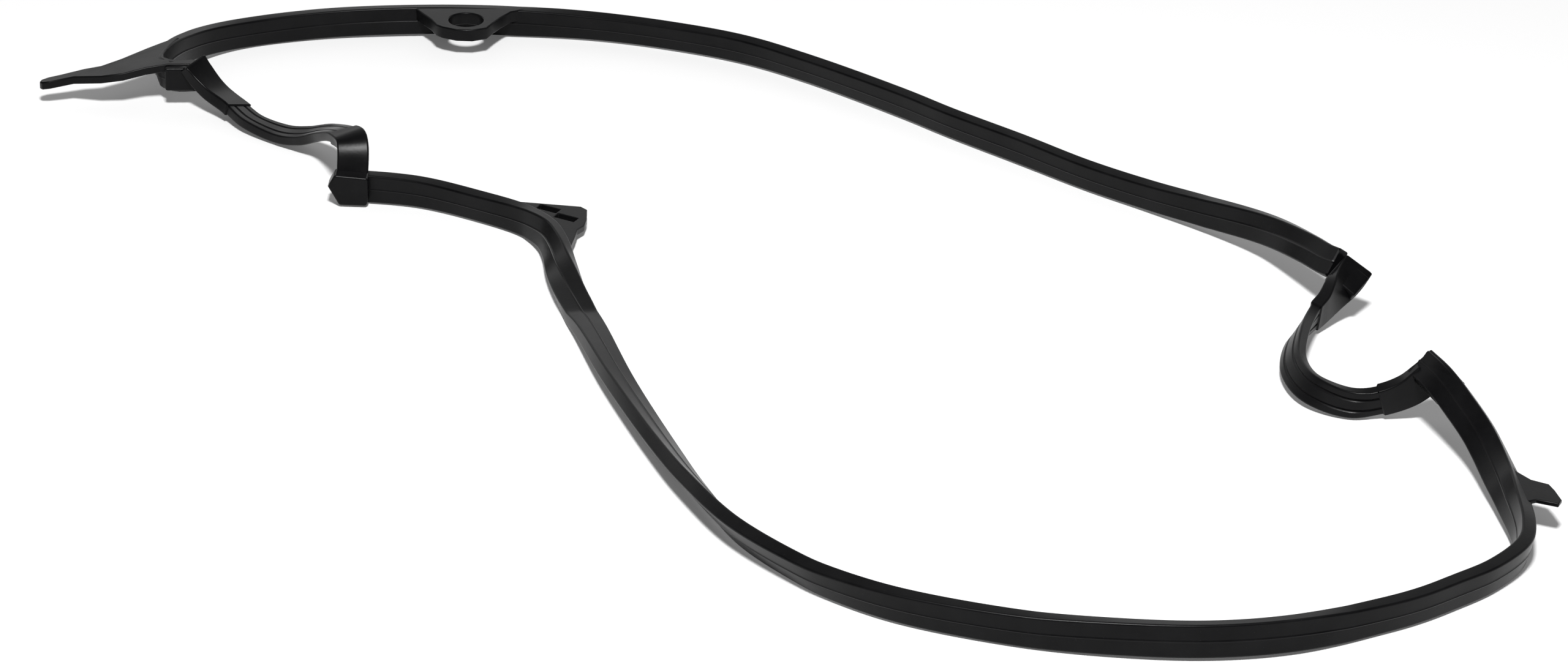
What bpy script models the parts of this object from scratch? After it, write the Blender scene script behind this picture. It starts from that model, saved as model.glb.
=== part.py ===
"""Valve cover gasket: one closed loop of moulded rubber band with two half-moons and four tabs."""
import math

import bmesh
import bpy
import numpy as np
from mathutils import Matrix, Vector

MM = 0.001

# The loop's band, in millimetres.
BAND_THICK = 3.5
BAND_TALL = 8.0
EDGE_CUT = 0.45
PARTING_PROUD = 0.2
PARTING_HALF = 0.5

# The half-moon strips.
END_WIDE = 8.3
END_THICK = 3.4
ARC_WIDE = 7.5
ARC_THICK = 2.7
GROOVE_DEEP = 0.35
GROOVE_HALF = 0.5
GROOVE_OFF = 1.6
LEFT_ENDS = (20.5, 19)
RIGHT_ENDS = (21, 14.3)
ARC_LAP = 0.8

# The flat tabs.
WING_THICK = 2.3
LUG_THICK = 3.2
LUG_TOP = 7.7
LUG_HOLE_R = 4.9
SLOT_TAB_LOW = 1.3
SLOT_TAB_THICK = 1.8
WING_TOP = 11.8
WING_DROOP = 5.3 / 34
RIGHT_TAB_THICK = 1.1

# How finely a route is followed.
TURN_LIMIT = math.radians(11)
STEP_LIMIT = 16.0
FINE = 24

# Stations of the back run, from corner A round the left end to corner D: x, y, lift, lean.
# Lift is the gap under the lowest edge. Lean is in degrees, positive with the top leaning outwards.
BACK_RUN = [
    (-163.5, 129, 4, 0),
    (-169.3, 128.2, 3.5, 8),
    (-173.2, 131.1, 3.2, 16),
    (-173.8, 136, 3, 16),
    (-172, 145, 2.6, 8),
    (-169, 153, 1.8, 0),
    (-164, 160.5, 0.8, -2),
    (-155, 168, 0, -4),
    (-136, 176, 0, 1),
    (-111, 181, 0, 6),
    (-83, 183, 0, 2),
    (-58, 181, 0, -13),
    (-36, 176, 0, -16),
    (-14.5, 168, 0, -14),
    (4, 156, 0, -16),
    (31, 134, 0, -12),
    (44, 122, 0, -12),
    (63, 106, 0, -9),
    (80, 91, 0, -12),
    (97, 78, 0.4, -10),
    (113, 65, 2, 2),
    (125, 52, 4, 14),
    (134, 36, 6.5, 30),
    (138, 28, 7.5, 35),
    (140.2, 24.4, 8.2, 37),
]

# Stations of the front run, from corner C down the right side and along the front to corner B.
FRONT_RUN = [
    (155.6, -33.2, 10.7, 50),
    (159.5, -42, 10, 50),
    (163.4, -50.2, 7.5, 48),
    (166.9, -58.2, 5, 50),
    (168.9, -64, 3, 53),
    (170.6, -72.7, 1.5, 48),
    (172.1, -83.7, 0.8, 31),
    (173.3, -99.7, 0.4, 13),
    (171.5, -108.2, 0.2, 11),
    (163.6, -118.9, 0, 10),
    (153.8, -127.2, 0, 7),
    (145.2, -133.7, 0, 7),
    (136, -139, 0, 5),
    (116, -148, 0, -8),
    (97, -152, 0, -9),
    (75, -152, 0, -6),
    (53, -149, 0, 2),
    (27, -141, 0, 10),
    (11.5, -132, 0, 19),
    (5, -126.3, 0, 23),
    (-9, -110, 0, 30),
    (-20.2, -88, 0, 44),
    (-27.3, -70.5, 0, 53),
    (-40.2, -34.3, 0, 65),
    (-48.5, -6, 0, 81),
    (-52, 5, 0, 95),
    (-54.5, 13, 0, 106),
    (-57.5, 25, 0, 130),
    (-59.7, 36, 0, 150),
    (-62, 43, 0, 160),
    (-65.8, 49, 0, 173),
    (-69, 52.5, 0, 180),
    (-80, 59, 0, 189),
    (-97, 67, 0, 187),
    (-112, 69.5, 0, 181),
    (-117, 69.5, 0, 180),
]

# Stations of a half-moon, from its first block to its second: x, y, z of its middle line, and lean.
LEFT_MOON = [
    (-164.5, 128, 12.1, 74),
    (-162.4, 127.1, 9.3, 86),
    (-158.3, 124.6, 5.4, 100),
    (-152, 119.4, 3, 106),
    (-146.3, 112.4, 2, 100),
    (-137.4, 105.6, 1.8, 89),
    (-131.3, 100.8, 3.7, 82),
    (-124.9, 94.3, 7.7, 80),
    (-118.4, 80.8, 13.6, 84),
    (-115.6, 75.2, 14.4, 79),
    (-115.1, 72.8, 12.4, 88),
    (-115.1, 69.4, 5.9, 100),
    (-115.1, 68.6, 4.4, 100),
]
RIGHT_MOON = [
    (145.4, 24.5, 12.1, -58),
    (142.9, 20.9, 10.2, -45),
    (139.8, 17.3, 8.4, -16),
    (136.2, 12.3, 6.2, 6),
    (133, 8.1, 4.9, 12),
    (128.2, -4, 5.2, 33),
    (126.4, -18, 4.4, 35),
    (129.9, -29.4, 4.3, 22),
    (138.9, -35.4, 4, -3),
    (145.7, -35.3, 4.9, -14),
    (152.6, -35.3, 7.9, -8),
    (157.3, -35.3, 12.1, 0),
]

# Outlines of the flat tabs, seen from above.
WING = [
    (-171, 147), (-175, 144.5), (-178.7, 140.8), (-181.8, 137.2), (-185, 134.4), (-190, 131),
    (-194.5, 130.2), (-200.6, 128), (-204, 127), (-205.7, 125.9), (-206.1, 124.6), (-205.2, 123.6),
    (-203, 123.6), (-196.8, 125.2), (-189, 123.4), (-183, 123.6), (-177, 126.2), (-171, 127.5),
]
LUG = [
    (-108.7, 181.9), (-105.3, 176.7), (-102.8, 173.1), (-100.9, 169.1), (-99, 167.6), (-95, 166),
    (-90.5, 166), (-86.5, 168), (-84.8, 172.3), (-83, 176.1), (-80.5, 180.1), (-75.7, 182.9),
]
LUG_HOLE = (-92.8, 173.3)
SLOT_TAB = [
    (-77, 62), (-72, 65.5), (-54.4, 63.6), (-52.7, 61.8), (-52.5, 56), (-53, 52),
    (-54.6, 49.5), (-55, 45), (-56, 38), (-60, 40), (-66, 50),
]
SLOTS = [(-62.9, 61.5), (-58, 56.5)]
SLOT_TURN = math.radians(-27)
SLOT_LONG = 6.0
SLOT_SHORT = 2.4
BLOCK_B = [
    (-118.3, 0.1), (-111, 0.1), (-110.6, 1.5), (-110.6, 8.2), (-119.4, 8.8), (-120.7, 6.5), (-121.2, 5.4),
]
RIGHT_TAB = [
    (171.5, -67), (172.8, -69.5), (174, -76), (177, -80), (181, -82), (182, -85), (183, -89.5),
    (182, -91.6), (177, -89.8), (173.5, -91.5), (173, -80),
]


def collection(name):
    """Return a new collection under the scene."""
    made = bpy.data.collections.new(name)
    bpy.context.scene.collection.children.link(made)
    return made


def smooth_rows(rows):
    """Pass a centripetal Catmull-Rom curve through the rows; the first three columns are the place."""
    rows = np.array(rows, dtype=float)
    ends = np.vstack([2 * rows[0] - rows[1], rows, 2 * rows[-1] - rows[-2]])
    out = []
    for i in range(len(rows) - 1):
        quad = ends[i:i + 4]
        knots = [0.0]
        for a, b in zip(quad[:-1], quad[1:]):
            knots.append(knots[-1] + max(np.linalg.norm((b - a)[:3]), 1e-6) ** 0.5)
        for t in np.linspace(knots[1], knots[2], FINE, endpoint=False):
            level = [row for row in quad]
            for depth in (1, 2, 3):
                lower = []
                for j in range(len(level) - 1):
                    left = knots[j]
                    right = knots[j + depth]
                    if depth == 3:
                        left = knots[1]
                        right = knots[2]
                    share = (t - left) / (right - left)
                    lower.append(level[j] * (1 - share) + level[j + 1] * share)
                level = lower
            out.append(level[0])
    out.append(rows[-1])
    return np.array(out)


def thin_out(rows, turn_column):
    """Keep the rows of a fine route where it has turned, leaned or run far enough."""
    kept = [rows[0]]
    last = rows[0]
    last_dir = None
    for i in range(1, len(rows) - 1):
        here = rows[i]
        ahead = rows[i + 1][:3] - here[:3]
        ahead = ahead / np.linalg.norm(ahead)
        if last_dir is None:
            last_dir = (rows[1][:3] - rows[0][:3]) / np.linalg.norm(rows[1][:3] - rows[0][:3])
        turned = math.acos(max(-1.0, min(1.0, float(np.dot(ahead, last_dir)))))
        rolled = abs(here[turn_column] - last[turn_column])
        gone = np.linalg.norm(here[:3] - last[:3])
        if turned > TURN_LIMIT or rolled > TURN_LIMIT or gone > STEP_LIMIT:
            kept.append(here)
            last = here
            last_dir = ahead
    kept.append(rows[-1])
    return kept


def band_route(stations):
    """Turn band stations into rows of x, y, z, tilt, resting the lowest edge at its lift."""
    rows = []
    for x, y, lift, lean in smooth_rows(stations):
        turn = math.radians(lean)
        half = 0.5 * (BAND_TALL * abs(math.cos(turn)) + BAND_THICK * abs(math.sin(turn)))
        rows.append((x, y, lift + half, -turn))
    return thin_out(np.array(rows), 3)


def moon(name, stations, ends):
    """Sweep a half-moon: a plain length at each end, and between them an arc that laps into both."""
    rows = [(x, y, z, -math.radians(lean)) for x, y, z, lean in smooth_rows(stations)]
    rows = np.array(rows)
    run = [0.0]
    for a, b in zip(rows[:-1], rows[1:]):
        run.append(run[-1] + np.linalg.norm((b - a)[:3]))
    run = np.array(run)
    rest = run[-1] - run
    head = rows[run <= ends[0]]
    tail = rows[rest <= ends[1]]
    middle = rows[(run >= ends[0] - ARC_LAP) & (rest >= ends[1] - ARC_LAP)]
    return [
        sweep(name + "_head", thin_out(head, 3), plain),
        sweep(name + "_arc", thin_out(middle, 3), ribbed),
        sweep(name + "_tail", thin_out(tail, 3), plain),
    ]


def section_curve(name, points):
    """Make the closed flat curve that is swept along a route."""
    data = bpy.data.curves.new(name, "CURVE")
    data.dimensions = "2D"
    spline = data.splines.new("POLY")
    spline.points.add(len(points) - 1)
    for point, (x, y) in zip(spline.points, points):
        point.co = (x * MM, y * MM, 0, 1)
    spline.use_cyclic_u = True
    made = bpy.data.objects.new(name, data)
    cutters.objects.link(made)
    return made


def mesh_from(source, name):
    """Turn a curve object into a mesh object with merged caps, and remove the curve."""
    graph = bpy.context.evaluated_depsgraph_get()
    mesh = bpy.data.meshes.new_from_object(source.evaluated_get(graph))
    mesh.name = name
    shape = bmesh.new()
    shape.from_mesh(mesh)
    bmesh.ops.remove_doubles(shape, verts=shape.verts, dist=0.00001)
    bmesh.ops.recalc_face_normals(shape, faces=shape.faces)
    shape.to_mesh(mesh)
    shape.free()
    made = bpy.data.objects.new(name, mesh)
    made.matrix_world = source.matrix_world
    pieces.objects.link(made)
    bpy.data.objects.remove(source)
    return made


def sweep(name, rows, section):
    """Sweep a section along rows of x, y, z, tilt, with filled ends."""
    data = bpy.data.curves.new(name, "CURVE")
    data.dimensions = "3D"
    data.twist_mode = "Z_UP"
    spline = data.splines.new("POLY")
    spline.points.add(len(rows) - 1)
    for point, (x, y, z, tilt) in zip(spline.points, rows):
        point.co = (x * MM, y * MM, z * MM, 1)
        point.tilt = tilt
    data.bevel_mode = "OBJECT"
    data.bevel_object = section
    data.use_fill_caps = True
    route = bpy.data.objects.new(name + "_route", data)
    pieces.objects.link(route)
    return mesh_from(route, name)


def band_section():
    """The band's outline: small edge cuts and a fine parting ridge half-way up both wide faces."""
    x = BAND_THICK / 2
    y = BAND_TALL / 2
    c = EDGE_CUT
    side = [(x - c, -y), (x, -y + c), (x, -PARTING_HALF), (x + PARTING_PROUD, 0), (x, PARTING_HALF)]
    side += [(x, y - c), (x - c, y)]
    return side + [(-px, -py) for px, py in side]


def end_section():
    """The plain end of a half-moon strip: a rectangle with cut edges."""
    x = END_THICK / 2
    y = END_WIDE / 2
    c = EDGE_CUT
    side = [(x - c, -y), (x, -y + c), (x, y - c), (x - c, y)]
    return side + [(-px, -py) for px, py in side]


def arc_section():
    """The arc of a half-moon strip: two shallow grooves along each wide face."""
    x = ARC_THICK / 2
    y = ARC_WIDE / 2
    c = EDGE_CUT
    g = GROOVE_OFF
    w = GROOVE_HALF
    d = GROOVE_DEEP
    side = [(x - c, -y), (x, -y + c), (x, -g - w), (x - d, -g), (x, -g + w)]
    side += [(x, g - w), (x - d, g), (x, g + w), (x, y - c), (x - c, y)]
    return side + [(-px, -py) for px, py in side]


def plate(name, outline, low, high, holes=()):
    """Make a flat plate from its outline, with holes, between two heights."""
    data = bpy.data.curves.new(name, "CURVE")
    data.dimensions = "2D"
    data.fill_mode = "BOTH"
    data.extrude = (high - low) / 2 * MM
    for loop in [outline] + list(holes):
        spline = data.splines.new("POLY")
        spline.points.add(len(loop) - 1)
        for point, (x, y) in zip(spline.points, loop):
            point.co = (x * MM, y * MM, 0, 1)
        spline.use_cyclic_u = True
    flat = bpy.data.objects.new(name + "_outline", data)
    flat.location = (0, 0, (low + high) / 2 * MM)
    pieces.objects.link(flat)
    bpy.context.view_layer.update()
    return mesh_from(flat, name)


def standing_plate(name, outline, front, back):
    """Make a plate that stands on edge: its outline is in x and z, its thickness along y."""
    made = plate(name, outline, front, back)
    turn = Matrix(((1, 0, 0, 0), (0, 0, 1, 0), (0, 1, 0, 0), (0, 0, 0, 1)))
    made.data.transform(turn @ made.matrix_world)
    made.data.flip_normals()
    made.matrix_world = Matrix()
    return made


def droop(solid, from_x, slope):
    """Let a plate sink steadily to the left of a given place."""
    for vertex in solid.data.vertices:
        beyond = from_x * MM - vertex.co.x
        vertex.co.z = vertex.co.z + solid.location.z - max(0, beyond) * slope
    solid.location.z = 0
    solid.matrix_world = Matrix()
    return solid


def circle(centre, radius, count):
    """Points of a round hole."""
    steps = [2 * math.pi * i / count for i in range(count)]
    return [(centre[0] + radius * math.cos(a), centre[1] + radius * math.sin(a)) for a in steps]


def slot(centre):
    """Corners of one slot of the slotted tab."""
    x = SLOT_LONG / 2
    y = SLOT_SHORT / 2
    c = math.cos(SLOT_TURN)
    s = math.sin(SLOT_TURN)
    corners = [(-x, -y), (x, -y), (x, y), (-x, y)]
    return [(centre[0] + c * px - s * py, centre[1] + s * px + c * py) for px, py in corners]


def block(name, middle, size, along, up):
    """Make a corner block with cut edges, turned so that its length and height follow two directions."""
    shape = bmesh.new()
    bmesh.ops.create_cube(shape, size=1)
    bmesh.ops.scale(shape, vec=Vector(size) * MM, verts=shape.verts)
    bmesh.ops.bevel(shape, geom=shape.edges[:], offset=EDGE_CUT * MM, segments=1, affect="EDGES")
    x_dir = Vector(along).normalized()
    z_dir = (Vector(up) - x_dir * Vector(up).dot(x_dir)).normalized()
    y_dir = z_dir.cross(x_dir)
    turn = Matrix((x_dir, y_dir, z_dir)).transposed().to_4x4()
    turn.translation = Vector(middle) * MM
    bmesh.ops.transform(shape, matrix=turn, verts=shape.verts)
    mesh = bpy.data.meshes.new(name)
    shape.to_mesh(mesh)
    shape.free()
    made = bpy.data.objects.new(name, mesh)
    pieces.objects.link(made)
    return made


def join(base, others):
    """Merge the other solids into the base one."""
    for other in others:
        step = base.modifiers.new("join_" + other.name, "BOOLEAN")
        step.operation = "UNION"
        step.solver = "EXACT"
        step.object = other
        graph = bpy.context.evaluated_depsgraph_get()
        mesh = bpy.data.meshes.new_from_object(base.evaluated_get(graph))
        base.modifiers.clear()
        base.data = mesh
        bpy.data.objects.remove(other)
    return base


def rubber():
    """Black moulded rubber."""
    made = bpy.data.materials.new("rubber")
    made.use_nodes = True
    shader = made.node_tree.nodes["Principled BSDF"]
    shader.inputs["Base Color"].default_value = (0.02, 0.02, 0.021, 1)
    shader.inputs["Roughness"].default_value = 0.5
    return made


def rest_on_origin(solid):
    """Move the solid so that the origin is the middle of the underside of its bounding box."""
    corners = [vertex.co for vertex in solid.data.vertices]
    low = [min(corner[i] for corner in corners) for i in range(3)]
    high = [max(corner[i] for corner in corners) for i in range(3)]
    shift = Vector((-(low[0] + high[0]) / 2, -(low[1] + high[1]) / 2, -low[2]))
    solid.data.transform(Matrix.Translation(shift))


for old in list(bpy.data.objects):
    bpy.data.objects.remove(old)
pieces = collection("valve_cover_gasket")
cutters = collection("sections")
cutters.hide_render = True

band = section_curve("band_section", band_section())
plain = section_curve("end_section", end_section())
ribbed = section_curve("arc_section", arc_section())

gasket = sweep("gasket", band_route(BACK_RUN), band)
parts = [
    block("block_a", (-168, 128.5, 8), (8, 6.5, 6.8), (1, 0.1, 0), (0, 0, 1)),
    standing_plate("block_b", BLOCK_B, 65.3, 70.4),
    block("block_c", (157.8, -35.6, 13.2), (6.6, 4, 4.6), (-0.64, 0, 0.77), (0.77, 0, 0.64)),
    block("block_d", (142.5, 20.8, 10), (8.5, 3.9, 7.4), (-0.75, 0.35, 0.5), (0.57, 0.74, 0.36)),
    droop(plate("wing", WING, WING_TOP - WING_THICK, WING_TOP), WING[0][0], WING_DROOP),
    plate("lug", LUG, LUG_TOP - LUG_THICK, LUG_TOP, [circle(LUG_HOLE, LUG_HOLE_R, 28)]),
    plate("slot_tab", SLOT_TAB, SLOT_TAB_LOW, SLOT_TAB_LOW + SLOT_TAB_THICK, [slot(place) for place in SLOTS]),
    plate("right_tab", RIGHT_TAB, 7.4, 7.4 + RIGHT_TAB_THICK),
]
parts += moon("left_moon", LEFT_MOON, LEFT_ENDS)
parts += moon("right_moon", RIGHT_MOON, RIGHT_ENDS)
parts.append(sweep("front_run", band_route(FRONT_RUN), band))
join(gasket, parts)
rest_on_origin(gasket)
gasket.data.materials.clear()
gasket.data.materials.append(rubber())
gasket.data.shade_smooth()
gasket.data.set_sharp_from_angle(angle=math.radians(35))
for helper in (band, plain, ribbed):
    bpy.data.objects.remove(helper)
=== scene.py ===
"""A moulded rubber valve cover gasket lying on a white table: its rubber, the studio and the camera."""
import math

import bmesh
import bpy
import numpy as np
from mathutils import Matrix, Vector


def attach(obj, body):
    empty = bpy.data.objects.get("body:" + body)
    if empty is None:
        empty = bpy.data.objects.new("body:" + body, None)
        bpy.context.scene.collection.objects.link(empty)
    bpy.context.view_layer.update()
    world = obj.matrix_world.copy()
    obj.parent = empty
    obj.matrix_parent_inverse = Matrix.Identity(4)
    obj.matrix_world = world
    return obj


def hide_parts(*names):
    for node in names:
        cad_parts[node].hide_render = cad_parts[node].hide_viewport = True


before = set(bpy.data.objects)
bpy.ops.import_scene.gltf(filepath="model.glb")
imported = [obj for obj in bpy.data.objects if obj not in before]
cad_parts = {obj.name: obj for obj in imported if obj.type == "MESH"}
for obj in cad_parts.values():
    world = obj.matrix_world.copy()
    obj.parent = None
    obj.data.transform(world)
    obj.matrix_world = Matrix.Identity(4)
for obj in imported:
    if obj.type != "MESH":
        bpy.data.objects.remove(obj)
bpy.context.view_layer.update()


# The band: the gasket's long strand, a solid rectangular section of nitrile rubber that sits in the
# cover's groove. A two-part mould presses it, which leaves rounded edges and a fine ridge of flash half-way
# up each wide face. Here it lies loose, so it bends, leans and rolls over as it runs.
MM = 0.001
STATIONS_START = Vector((11.55, -15.15, 0.2))
BAND_THICK = 3.5
BAND_TALL = 8.0
BAND_EDGE = 0.55
BAND_STEP = 1.6
FLASH_PROUD = 0.2
FLASH_HALF = 0.42
FLASH_SHOULDER = 0.15
TIP_ROUND = 0.35

# Stations in millimetres: x, y, gap under the lowest edge, and lean in degrees with the top outwards. They
# go from the back left corner round the back to the back right corner.
BACK_RUN = [
    (-163.5, 129, 3.7, 0), (-169.3, 128.2, 3.5, 8), (-173.2, 131.1, 3.2, 16), (-173.8, 136, 3, 16),
    (-172, 145, 2.6, 8), (-169, 153, 1.8, 0), (-164, 160.5, 0.8, -2), (-155, 168, 0, -4),
    (-136, 176, 0, 1), (-111, 181, 0, 6),
    (-83, 182.99, 0, 2), (-58, 181, 0, -13), (-36, 176, 0, -16), (-14.5, 168, 0, -14), (4, 156, 0, -16),
    (31, 134, 0, -12), (44, 122, 0, -12), (63, 106, 0, -9), (80, 91, 0, -12), (97, 78, 0.4, -10),
    (113, 65, 2, 2), (125, 52, 4, 14), (134, 36, 6.5, 30), (138, 28, 7.5, 35), (140.2, 24.4, 8.2, 37),
]

# The same for the front: down the right side, along the front, up to the inner bend and to the left
# half-moon.
FRONT_RUN = [
    (155.6, -33.2, 10.3, 50), (159.5, -42, 9.9, 50), (163.4, -50.2, 7.5, 48), (166.9, -58.2, 5, 50),
    (168.9, -64, 3, 53), (170.6, -72.7, 1.5, 48), (172.1, -83.7, 0.8, 31), (173.3, -99.7, 0.4, 13),
    (171.5, -108.2, 0.2, 11), (163.6, -118.9, 0, 10), (153.8, -127.2, 0, 7), (145.2, -133.7, 0, 7),
    (136, -139, 0, 5), (116, -148, 0, -8), (97, -151.94, 0, -9), (75, -151.94, 0, -6), (53, -149, 0, 2),
    (27, -141, 0, 10), (11.5, -132, 0, 19), (5, -126.3, 0, 23), (-9, -110, 0, 30), (-20.2, -88, 0, 44),
    (-27.3, -70.5, 0, 53), (-40.2, -34.3, 0, 65), (-48.5, -6, 0, 81), (-52, 5, 0, 95), (-54.5, 13, 0, 106),
    (-57.5, 25, 0, 130), (-59.7, 36, 0, 150), (-62, 43, 0, 160), (-65.8, 49, 0, 173), (-69, 52.5, 0, 180),
    (-80, 59, 0, 189), (-97, 67, 0, 187), (-112, 69.5, 0, 181), (-117, 69.5, 0, 180),
]

# The front run starts with a short, stiffer head that leans less than the band behind it.
FRONT_HEAD = [(155.7, -33.4, 9.6, 35), (158.1, -38.8, 9.4, 36), (161.6, -45.6, 8.3, 38)]
FLOW_CUTS = 40


def flow(stations, step):
    """Pass a smooth line through the stations and cut it into even steps."""
    rows = np.array(stations, dtype=float)
    ends = np.vstack([2 * rows[0] - rows[1], rows, 2 * rows[-1] - rows[-2]])
    fine = []
    for a, b, c, d in zip(ends, ends[1:], ends[2:], ends[3:]):
        k1 = np.linalg.norm((b - a)[:3]) ** 0.5
        k2 = k1 + np.linalg.norm((c - b)[:3]) ** 0.5
        k3 = k2 + np.linalg.norm((d - c)[:3]) ** 0.5
        for t in np.linspace(k1, k2, FLOW_CUTS, endpoint=False):
            ab = a * (k1 - t) / k1 + b * t / k1
            bc = b * (k2 - t) / (k2 - k1) + c * (t - k1) / (k2 - k1)
            cd = c * (k3 - t) / (k3 - k2) + d * (t - k2) / (k3 - k2)
            abc = ab * (k2 - t) / k2 + bc * t / k2
            bcd = bc * (k3 - t) / (k3 - k1) + cd * (t - k1) / (k3 - k1)
            fine.append(abc * (k2 - t) / (k2 - k1) + bcd * (t - k1) / (k2 - k1))
    fine.append(rows[-1])
    fine = np.array(fine)
    run = np.concatenate([[0], np.cumsum(np.linalg.norm(np.diff(fine[:, :3], axis=0), axis=1))])
    marks = np.linspace(0, run[-1], max(3, int(run[-1] / step) + 1))
    return np.column_stack([np.interp(marks, run, fine[:, i]) for i in range(fine.shape[1])])


def rounded_corner(x, y, radius, start):
    """Four points of a quarter-round edge whose outer corner would be at x, y."""
    cx = x - math.copysign(radius, x)
    cy = y - math.copysign(radius, y)
    angles = [math.radians(start + 30 * i) for i in range(4)]
    return [(cx + radius * math.cos(a), cy + radius * math.sin(a)) for a in angles]


def band_outline():
    """The band's section, with its rounded edges and the ridge of flash on both wide faces."""
    x = BAND_THICK / 2
    y = BAND_TALL / 2
    shoulder = x + 0.6 * FLASH_PROUD
    ridge = [(x, -FLASH_HALF), (shoulder, -FLASH_SHOULDER), (x + FLASH_PROUD, 0)]
    ridge += [(shoulder, FLASH_SHOULDER), (x, FLASH_HALF)]
    half = rounded_corner(x, -y, BAND_EDGE, -90) + ridge + rounded_corner(x, y, BAND_EDGE, 0)
    return half + [(-px, -py) for px, py in half]


def strand(name, rows, outline):
    """Pull a section along rows of x, y, middle height, lean, and round off both of its ends."""
    places = rows[:, :3]
    ahead = np.gradient(places, axis=0)
    ahead /= np.linalg.norm(ahead, axis=1)[:, None]
    right = np.cross(ahead, (0, 0, 1))
    right /= np.linalg.norm(right, axis=1)[:, None]
    up = np.cross(right, ahead)
    turn = -np.radians(rows[:, 3])[:, None]
    tall = np.cos(turn) * up + np.sin(turn) * right
    wide = np.cos(turn) * right - np.sin(turn) * up
    shape = np.array(outline)
    small = shape * (1 - TIP_ROUND / np.abs(shape).max(axis=0))
    last = len(places) - 1
    rings = [(places[0], small, 0), (places[0] + TIP_ROUND * ahead[0], shape, 0)]
    rings += [(places[i], shape, i) for i in range(1, last)]
    rings += [(places[last] - TIP_ROUND * ahead[last], shape, last), (places[last], small, last)]
    body = bmesh.new()
    loops = []
    for place, section, i in rings:
        points = place + section[:, :1] * wide[i] + section[:, 1:] * tall[i]
        loops.append([body.verts.new(Vector(p) * MM) for p in points])
    count = len(outline)
    for lower, upper in zip(loops, loops[1:]):
        for j in range(count):
            k = (j + 1) % count
            body.faces.new((lower[j], lower[k], upper[k], upper[j]))
    body.faces.new(list(reversed(loops[0])))
    body.faces.new(loops[-1])
    bmesh.ops.recalc_face_normals(body, faces=body.faces)
    mesh = bpy.data.meshes.new(name)
    body.to_mesh(mesh)
    body.free()
    made = bpy.data.objects.new(name, mesh)
    bpy.context.scene.collection.objects.link(made)
    return made


def band_rows(stations):
    """Rest the band's lowest edge at its gap above the table, whatever its lean."""
    rows = flow(stations, BAND_STEP)
    turn = np.radians(rows[:, 3])
    rows[:, 2] += 0.5 * (BAND_TALL * np.abs(np.cos(turn)) + BAND_THICK * np.abs(np.sin(turn)))
    return rows


mouldings = [
    strand("band_back", band_rows(BACK_RUN), band_outline()),
    strand("band_front", band_rows(FRONT_RUN), band_outline()),
    strand("band_front_head", band_rows(FRONT_HEAD), band_outline()),
]


# The half-moons: two strips that seal the round ends of the cylinder head. Each has a plain, thicker length
# at both ends and a thinner arc between them with two fine sealing grooves along each wide face. They are
# of the same rubber, in the same moulding.
END_WIDE = 8.3
END_THICK = 3.4
END_EDGE = 0.5
ARC_WIDE = 7.5
ARC_THICK = 2.7
ARC_EDGE = 0.45
GROOVE_OFF = 1.6
GROOVE_HALF = 0.45
GROOVE_DEEP = 0.35
ARC_LAP = 2.4
MOON_STEP = 0.8

# x, y, middle height and lean from the first corner block to the second, then how long the plain lengths
# at both ends are.
LEFT_MOON = [
    (-164.5, 128, 12.1, 74), (-162.4, 127.1, 9.3, 86), (-158.3, 124.6, 5.4, 100), (-152, 119.4, 3, 106),
    (-146.3, 112.4, 2, 100), (-137.4, 105.6, 1.8, 89), (-131.3, 100.8, 3.7, 82), (-124.9, 94.3, 7.7, 80),
    (-118.4, 80.8, 13.6, 84), (-115.6, 75.2, 14.4, 79), (-115.1, 72.8, 12.4, 88), (-115.1, 69.4, 5.9, 100),
    (-115.1, 68.6, 4.4, 100),
]
LEFT_ENDS = (20.5, 19)
RIGHT_MOON = [
    (145.4, 24.5, 12.1, -58), (142.9, 20.9, 10.2, -45), (139.8, 17.3, 8.4, -16), (136.2, 12.3, 6.2, 6),
    (133, 8.1, 4.9, 12), (128.2, -4, 5.2, 33), (126.4, -18, 4.4, 35), (129.9, -29.4, 4.3, 22),
    (138.9, -35.4, 4, -3), (145.7, -35.3, 4.9, -14), (152.6, -35.3, 7.9, -8), (157.3, -35.3, 12.1, 0),
]
RIGHT_ENDS = (21, 14.3)


def plain_outline():
    """The section of a half-moon's plain length."""
    x = END_THICK / 2
    y = END_WIDE / 2
    half = rounded_corner(x, -y, END_EDGE, -90) + rounded_corner(x, y, END_EDGE, 0)
    return half + [(-px, -py) for px, py in half]


def arc_outline():
    """The section of a half-moon's arc, with two round-bottomed grooves on both wide faces."""
    x = ARC_THICK / 2
    y = ARC_WIDE / 2
    grooves = []
    for off in (-GROOVE_OFF, GROOVE_OFF):
        for step in (-1, -0.5, 0, 0.5, 1):
            grooves.append((x - GROOVE_DEEP * (1 - step * step), off + step * GROOVE_HALF))
    half = rounded_corner(x, -y, ARC_EDGE, -90) + grooves + rounded_corner(x, y, ARC_EDGE, 0)
    return half + [(-px, -py) for px, py in half]


def half_moon(name, stations, ends):
    """Make the plain lengths of a half-moon and the arc that laps into both."""
    rows = flow(stations, MOON_STEP)
    run = np.concatenate([[0], np.cumsum(np.linalg.norm(np.diff(rows[:, :3], axis=0), axis=1))])
    rest = run[-1] - run
    arc = (run >= ends[0] - ARC_LAP) & (rest >= ends[1] - ARC_LAP)
    return [
        strand(name + "_first_end", rows[run <= ends[0]], plain_outline()),
        strand(name + "_arc", rows[arc], arc_outline()),
        strand(name + "_second_end", rows[rest <= ends[1]], plain_outline()),
    ]


mouldings += half_moon("left_moon", LEFT_MOON, LEFT_ENDS)
mouldings += half_moon("right_moon", RIGHT_MOON, RIGHT_ENDS)


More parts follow.
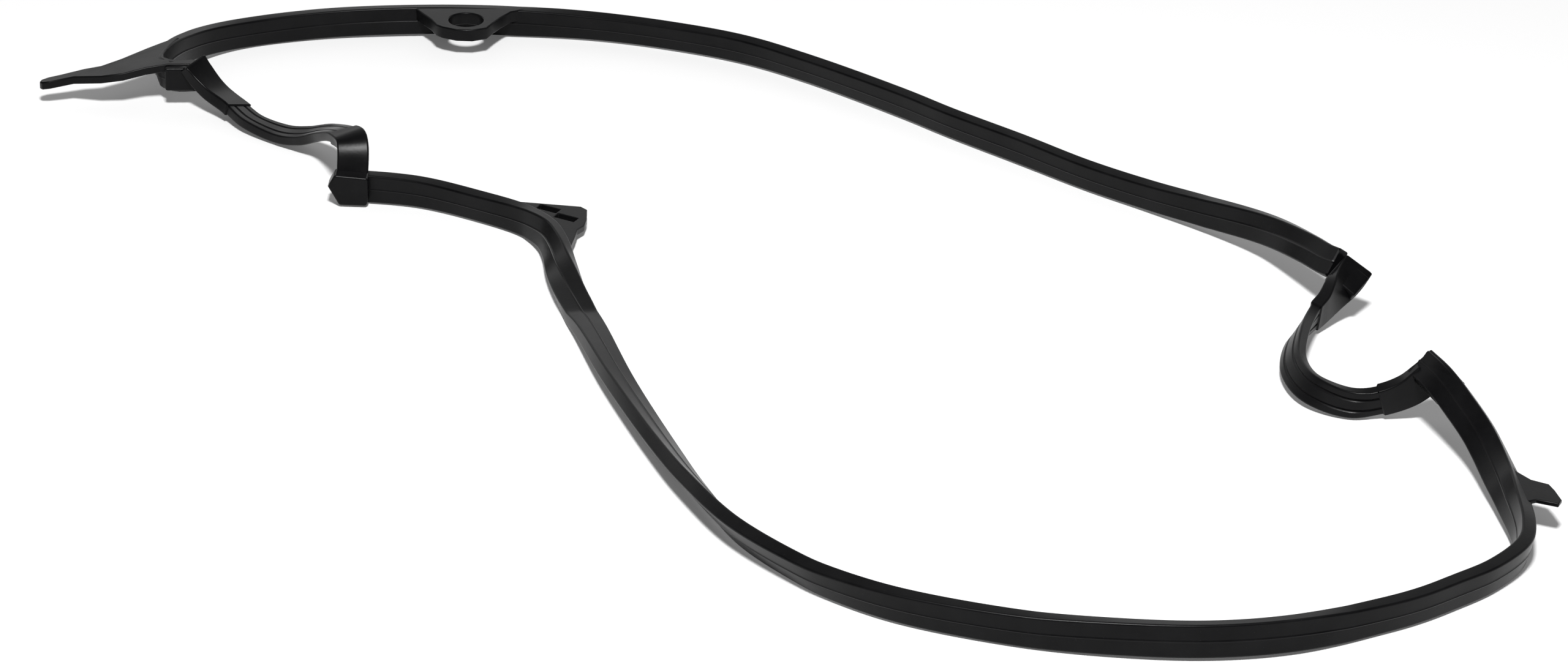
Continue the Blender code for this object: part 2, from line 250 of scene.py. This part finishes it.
# The corner blocks: small solid lumps of the same rubber where a half-moon grows out of the band. They are
# moulded with the rest and take up the turn of the section, so they have soft edges and no seam.
BLOCK_EDGE = 0.6


def corner_block(name, middle, size, along, up):
    """A rounded block whose length and height follow two directions."""
    body = bmesh.new()
    bmesh.ops.create_cube(body, size=1)
    bmesh.ops.scale(body, vec=Vector(size) * MM, verts=body.verts)
    edge = BLOCK_EDGE * MM
    bmesh.ops.bevel(body, geom=body.edges[:], offset=edge, segments=3, affect="EDGES", profile=0.5)
    x_dir = Vector(along).normalized()
    z_dir = (Vector(up) - x_dir * Vector(up).dot(x_dir)).normalized()
    turn = Matrix((x_dir, z_dir.cross(x_dir), z_dir)).transposed().to_4x4()
    turn.translation = Vector(middle) * MM
    bmesh.ops.transform(body, matrix=turn, verts=body.verts)
    mesh = bpy.data.meshes.new(name)
    body.to_mesh(mesh)
    body.free()
    made = bpy.data.objects.new(name, mesh)
    bpy.context.scene.collection.objects.link(made)
    return made


# Middle, size, then the directions of its length and of its height.
BACK_LEFT_BLOCK = (-168, 128.5, 8), (8, 6.5, 6.8), (1, 0.1, 0), (0, 0, 1)
BACK_RIGHT_BLOCK = (142.5, 20.8, 10), (8.5, 3.9, 7.4), (-0.75, 0.35, 0.5), (0.57, 0.74, 0.36)
mouldings += [
    corner_block("block_back_left", *BACK_LEFT_BLOCK),
    corner_block("block_back_right", *BACK_RIGHT_BLOCK),
]


# The flat tabs: a pointed wing at the left end, a locating lug with a pin hole, a tab with two slots at the
# inner bend and a small tab at the right. They are thin webs of the same rubber, moulded level with an edge
# of the band. The front left corner block is a thicker web that stands on its edge.
WING = [
    (-170.6, 148), (-173.2, 146.2), (-175.4, 144.2), (-178.7, 140.8), (-181.8, 137.2), (-185, 134.4),
    (-190, 131), (-194.5, 130.2), (-200.6, 128), (-204, 127), (-205.7, 125.9), (-206.1, 124.6),
    (-205.2, 123.6), (-203, 123.6), (-196.8, 125.2), (-189, 123.4), (-183, 123.6), (-177, 126.0),
    (-171, 126.8), (-163.8, 127.4), (-163.8, 130.6), (-168.2, 129.9), (-171, 130.5), (-172.8, 132.4),
    (-173.3, 135.5), (-172.3, 141),
]
WING_THICK = 2.3
WING_TOP = 11.95
WING_DROOP_X = -171
WING_DROOP = 5.3 / 34
WING_SINK_Y = 137
WING_SINK = 0.09
LUG = [
    (-108.7, 181.9), (-105.3, 176.7), (-102.8, 173.1), (-100.9, 169.1), (-99, 167.6), (-95, 166),
    (-90.5, 166), (-86.5, 168), (-84.8, 172.3), (-83, 176.1), (-80.5, 180.1), (-75.7, 182.9),
]
LUG_HOLE = (-92.8, 173.3)
LUG_HOLE_R = 4.9
LUG_THICK = 3.6
LUG_TOP = 8.1
SLOT_TAB = [
    (-77, 62), (-72, 65.5), (-54.4, 63.6), (-52.7, 61.8), (-52.5, 56), (-53, 52),
    (-54.6, 49.5), (-55, 45), (-56, 38), (-60, 40), (-66, 50),
]
SLOTS = [(-62.9, 61.5), (-58, 56.5)]
SLOT_TURN = math.radians(-27)
SLOT_LONG = 6.0
SLOT_SHORT = 2.4
SLOT_TAB_LOW = 1.3
SLOT_TAB_THICK = 1.8
FRONT_LEFT_BLOCK = [
    (-118.3, 0.1), (-111, 0.1), (-110.6, 1.5), (-110.6, 8.2), (-119.4, 8.8), (-120.7, 6.5), (-121.2, 5.4),
]
FRONT_LEFT_BLOCK_NEAR = 65.3
FRONT_LEFT_BLOCK_FAR = 70.4
RIGHT_TAB = [
    (171.5, -67), (172.8, -69.5), (174, -76), (177, -80), (181, -82), (182, -85), (183, -89.5),
    (182, -91.6), (177, -89.8), (173.5, -91.5), (173, -80),
]
RIGHT_TAB_LOW = 7.4
RIGHT_TAB_THICK = 1.1
WEB_EDGE = 0.4
THIN_WEB_EDGE = 0.3


def web(name, outline, low, high, holes=(), edge=WEB_EDGE):
    """A flat web of rubber from its outline, with softened edges, between two heights."""
    data = bpy.data.curves.new(name, "CURVE")
    data.dimensions = "2D"
    data.fill_mode = "BOTH"
    data.extrude = (high - low) / 2 * MM
    for loop in [outline] + list(holes):
        spline = data.splines.new("POLY")
        spline.points.add(len(loop) - 1)
        for point, (x, y) in zip(spline.points, loop):
            point.co = (x * MM, y * MM, 0, 1)
        spline.use_cyclic_u = True
    flat = bpy.data.objects.new(name + "_outline", data)
    bpy.context.scene.collection.objects.link(flat)
    graph = bpy.context.evaluated_depsgraph_get()
    mesh = bpy.data.meshes.new_from_object(flat.evaluated_get(graph))
    bpy.data.objects.remove(flat)
    body = bmesh.new()
    body.from_mesh(mesh)
    bmesh.ops.remove_doubles(body, verts=body.verts, dist=0.00001)
    bmesh.ops.dissolve_limit(body, angle_limit=0.01, verts=body.verts, edges=body.edges)
    bmesh.ops.translate(body, vec=(0, 0, (low + high) / 2 * MM), verts=body.verts)
    bmesh.ops.recalc_face_normals(body, faces=body.faces)
    sharp = [e for e in body.edges if e.calc_face_angle(0) > 1.0]
    bmesh.ops.bevel(body, geom=sharp, offset=edge * MM, segments=3, affect="EDGES", profile=0.5)
    body.to_mesh(mesh)
    body.free()
    made = bpy.data.objects.new(name, mesh)
    bpy.context.scene.collection.objects.link(made)
    return made


def ring_of_points(centre, radius, count):
    """Points round a pin hole."""
    steps = [2 * math.pi * i / count for i in range(count)]
    return [(centre[0] + radius * math.cos(a), centre[1] + radius * math.sin(a)) for a in steps]


def slot_corners(centre):
    """The four corners of a slot."""
    c = math.cos(SLOT_TURN)
    s = math.sin(SLOT_TURN)
    x = SLOT_LONG / 2
    y = SLOT_SHORT / 2
    corners = [(-x, -y), (x, -y), (x, y), (-x, y)]
    return [(centre[0] + c * px - s * py, centre[1] + s * px + c * py) for px, py in corners]


wing = web("wing", WING, WING_TOP - WING_THICK, WING_TOP)
for vertex in wing.data.vertices:
    vertex.co.z -= max(0, WING_DROOP_X * MM - vertex.co.x) * WING_DROOP
    vertex.co.z -= max(0, vertex.co.y - WING_SINK_Y * MM) * WING_SINK
lug = web("lug", LUG, LUG_TOP - LUG_THICK, LUG_TOP, [ring_of_points(LUG_HOLE, LUG_HOLE_R, 40)])
slots = [slot_corners(place) for place in SLOTS]
slot_tab = web("slot_tab", SLOT_TAB, SLOT_TAB_LOW, SLOT_TAB_LOW + SLOT_TAB_THICK, slots, THIN_WEB_EDGE)
right_tab = web("right_tab", RIGHT_TAB, RIGHT_TAB_LOW, RIGHT_TAB_LOW + RIGHT_TAB_THICK, edge=THIN_WEB_EDGE)
standing = web(
    "block_front_left", FRONT_LEFT_BLOCK, FRONT_LEFT_BLOCK_NEAR, FRONT_LEFT_BLOCK_FAR, edge=BLOCK_EDGE
)
standing.data.transform(Matrix(((1, 0, 0, 0), (0, 0, 1, 0), (0, 1, 0, 0), (0, 0, 0, 1))))
standing.data.flip_normals()
mouldings += [wing, lug, slot_tab, right_tab, standing]


# The rubber: black nitrile with a satin skin from the polished mould. Close to, it has a fine grain, a
# faint grey bloom in patches and a little dust. Everything above is one moulding, so it is joined into one.
def rubber_skin():
    """Black moulded rubber with grain, bloom and dust."""
    made = bpy.data.materials.new("black_rubber")
    made.use_nodes = True
    tree = made.node_tree
    shader = tree.nodes["Principled BSDF"]
    shader.inputs["Specular IOR Level"].default_value = 0.12
    shader.inputs["IOR"].default_value = 1.5
    place = tree.nodes.new("ShaderNodeTexCoord")
    bloom = tree.nodes.new("ShaderNodeTexNoise")
    bloom.inputs["Scale"].default_value = 90
    bloom.inputs["Detail"].default_value = 5
    bloom.inputs["Roughness"].default_value = 0.6
    tint = tree.nodes.new("ShaderNodeValToRGB")
    tint.color_ramp.elements[0].position = 0.35
    tint.color_ramp.elements[0].color = (0.0025, 0.0025, 0.0028, 1)
    tint.color_ramp.elements[1].position = 0.75
    tint.color_ramp.elements[1].color = (0.006, 0.006, 0.0064, 1)
    dust = tree.nodes.new("ShaderNodeTexNoise")
    dust.inputs["Scale"].default_value = 2600
    dust.inputs["Detail"].default_value = 2
    specks = tree.nodes.new("ShaderNodeValToRGB")
    specks.color_ramp.elements[0].position = 0.71
    specks.color_ramp.elements[0].color = (0, 0, 0, 1)
    specks.color_ramp.elements[1].position = 0.8
    specks.color_ramp.elements[1].color = (1, 1, 1, 1)
    dusty = tree.nodes.new("ShaderNodeMix")
    dusty.data_type = "RGBA"
    dusty.inputs["B"].default_value = (0.02, 0.02, 0.021, 1)
    satin = tree.nodes.new("ShaderNodeMapRange")
    satin.inputs["To Min"].default_value = 0.24
    satin.inputs["To Max"].default_value = 0.4
    grain = tree.nodes.new("ShaderNodeTexNoise")
    grain.inputs["Scale"].default_value = 1500
    grain.inputs["Detail"].default_value = 4
    relief = tree.nodes.new("ShaderNodeBump")
    relief.inputs["Strength"].default_value = 0.12
    relief.inputs["Distance"].default_value = 0.0001
    link = tree.links.new
    for noise in (bloom, dust, grain):
        link(place.outputs["Object"], noise.inputs["Vector"])
    link(bloom.outputs["Fac"], tint.inputs["Fac"])
    link(dust.outputs["Fac"], specks.inputs["Fac"])
    link(specks.outputs["Color"], dusty.inputs["Factor"])
    link(tint.outputs["Color"], dusty.inputs["A"])
    link(dusty.outputs["Result"], shader.inputs["Base Color"])
    link(bloom.outputs["Fac"], satin.inputs["Value"])
    link(satin.outputs["Result"], shader.inputs["Roughness"])
    link(grain.outputs["Fac"], relief.inputs["Height"])
    link(relief.outputs["Normal"], shader.inputs["Normal"])
    return made


bpy.ops.object.select_all(action="DESELECT")
for moulding in mouldings:
    moulding.select_set(True)
bpy.context.view_layer.objects.active = mouldings[0]
bpy.ops.object.join()
gasket = bpy.context.view_layer.objects.active
gasket.name = "gasket_rubber"
gasket.data.transform(Matrix.Translation(STATIONS_START * MM))
gasket.data.materials.clear()
gasket.data.materials.append(rubber_skin())
gasket.data.shade_smooth()
gasket.data.set_sharp_from_angle(angle=math.radians(40))
even = gasket.modifiers.new("even_shading", "WEIGHTED_NORMAL")
even.keep_sharp = True
even.weight = 80
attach(gasket, "root")
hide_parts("gasket")


# The table: a broad, flat sheet of white laminate. The room behind it is seen as plain white as well, so
# that no edge shows, and it keeps the gasket's shadow.
TABLE_HALF = 3
TABLE_BELOW = 0.0002
TABLE_LIFT = 0.1


def white_sheet():
    """White laminate, a little lifted for the camera and for reflections."""
    made = bpy.data.materials.new("white_table")
    made.use_nodes = True
    tree = made.node_tree
    shader = tree.nodes["Principled BSDF"]
    shader.inputs["Base Color"].default_value = (0.86, 0.86, 0.86, 1)
    shader.inputs["Roughness"].default_value = 0.9
    shader.inputs["Specular IOR Level"].default_value = 0.1
    rays = tree.nodes.new("ShaderNodeLightPath")
    seen = tree.nodes.new("ShaderNodeMath")
    seen.operation = "MAXIMUM"
    lift = tree.nodes.new("ShaderNodeMath")
    lift.operation = "MULTIPLY"
    lift.inputs[1].default_value = TABLE_LIFT
    tree.links.new(rays.outputs["Is Camera Ray"], seen.inputs[0])
    tree.links.new(rays.outputs["Is Glossy Ray"], seen.inputs[1])
    tree.links.new(seen.outputs[0], lift.inputs[0])
    shader.inputs["Emission Color"].default_value = (1, 1, 1, 1)
    tree.links.new(lift.outputs[0], shader.inputs["Emission Strength"])
    return made


sheet = bmesh.new()
bmesh.ops.create_grid(sheet, x_segments=1, y_segments=1, size=TABLE_HALF)
table_mesh = bpy.data.meshes.new("table")
sheet.to_mesh(table_mesh)
sheet.free()
table = bpy.data.objects.new("table", table_mesh)
table.location.z = -TABLE_BELOW
table.data.materials.append(white_sheet())
bpy.context.scene.collection.objects.link(table)


# The studio: one small lamp above the camera, which throws the short shadows, and a lit stripe low on the
# white backdrop, which gives the flat tops their grey sheen while the near faces stay black. The camera
# sees the backdrop as plain white.
LAMP_PLACE = Vector((0, -0.8, 1.4))
LAMP_AIM = Vector((0, 0.05, 0))
LAMP_SIDE = 0.22
LAMP_WATTS = 31
BACKDROP_STARTS = 0.1
BACKDROP_FULL = 0.7
STRIPE_RISES = (0.18, 0.28)
STRIPE_FADES = (0.33, 0.4)
UNDER_STRIPE = 0.25
STRIPE = 1.9
OVER_STRIPE = 0.2
ROOM_GLOW = 0.06

lamp_light = bpy.data.lights.new("lamp_front", "AREA")
lamp_light.shape = "RECTANGLE"
lamp_light.size = LAMP_SIDE
lamp_light.size_y = LAMP_SIDE
lamp_light.energy = LAMP_WATTS
lamp = bpy.data.objects.new("lamp_front", lamp_light)
lamp.location = LAMP_PLACE
lamp.rotation_euler = (LAMP_AIM - LAMP_PLACE).to_track_quat("-Z", "Y").to_euler()
bpy.context.scene.collection.objects.link(lamp)

world = bpy.data.worlds.new("studio")
bpy.context.scene.world = world
world.use_nodes = True
sky = world.node_tree


def graded(direction, start, end, first, last):
    """A brightness that goes from first to last while a direction goes from start to end."""
    made = sky.nodes.new("ShaderNodeMapRange")
    for name, number in (("From Min", start), ("From Max", end), ("To Min", first), ("To Max", last)):
        made.inputs[name].default_value = number
    sky.links.new(direction, made.inputs["Value"])
    return made.outputs["Result"]


def joined(operation, first, second):
    """Two brightnesses put together."""
    made = sky.nodes.new("ShaderNodeMath")
    made.operation = operation
    sky.links.new(first, made.inputs[0])
    sky.links.new(second, made.inputs[1])
    return made


way = sky.nodes.new("ShaderNodeTexCoord")
toward = sky.nodes.new("ShaderNodeSeparateXYZ")
rays = sky.nodes.new("ShaderNodeLightPath")
sky.links.new(way.outputs["Generated"], toward.inputs["Vector"])
behind = graded(toward.outputs["Y"], BACKDROP_STARTS, BACKDROP_FULL, 0, 1)
rising = graded(toward.outputs["Z"], *STRIPE_RISES, UNDER_STRIPE, STRIPE)
fading = graded(toward.outputs["Z"], *STRIPE_FADES, 1, OVER_STRIPE)
lit = joined("MULTIPLY_ADD", behind, joined("MULTIPLY", rising, fading).outputs[0])
lit.inputs[2].default_value = ROOM_GLOW
bright = joined("MAXIMUM", lit.outputs[0], rays.outputs["Is Camera Ray"])
room = sky.nodes["Background"]
room.inputs["Color"].default_value = (1, 1, 1, 1)
sky.links.new(bright.outputs[0], room.inputs["Strength"])


# The camera: it stands in front of the table and looks down at the photograph's angle, turned by a hair,
# with a long lens that holds the whole gasket in view.
CAMERA_AIM = Vector((0.01155, -0.01515, 0.0002))
CAMERA_PITCH = math.radians(26.9)
CAMERA_ROLL = math.radians(1.9)
CAMERA_AWAY = 1.2001
CAMERA_LENS = 109.69
lens = bpy.data.cameras.new("camera")
lens.sensor_width = 36
lens.lens = CAMERA_LENS
lens.clip_start = 0.05
lens.clip_end = 20
camera = bpy.data.objects.new("camera", lens)
camera_way = Vector((0, -math.cos(CAMERA_PITCH), math.sin(CAMERA_PITCH)))
camera.location = CAMERA_AIM + CAMERA_AWAY * camera_way
look = Matrix.Rotation(math.pi / 2 - CAMERA_PITCH, 4, "X") @ Matrix.Rotation(CAMERA_ROLL, 4, "Z")
camera.rotation_euler = look.to_euler()
bpy.context.scene.collection.objects.link(camera)
bpy.context.scene.camera = camera
bpy.context.scene.view_settings.view_transform = "Standard"
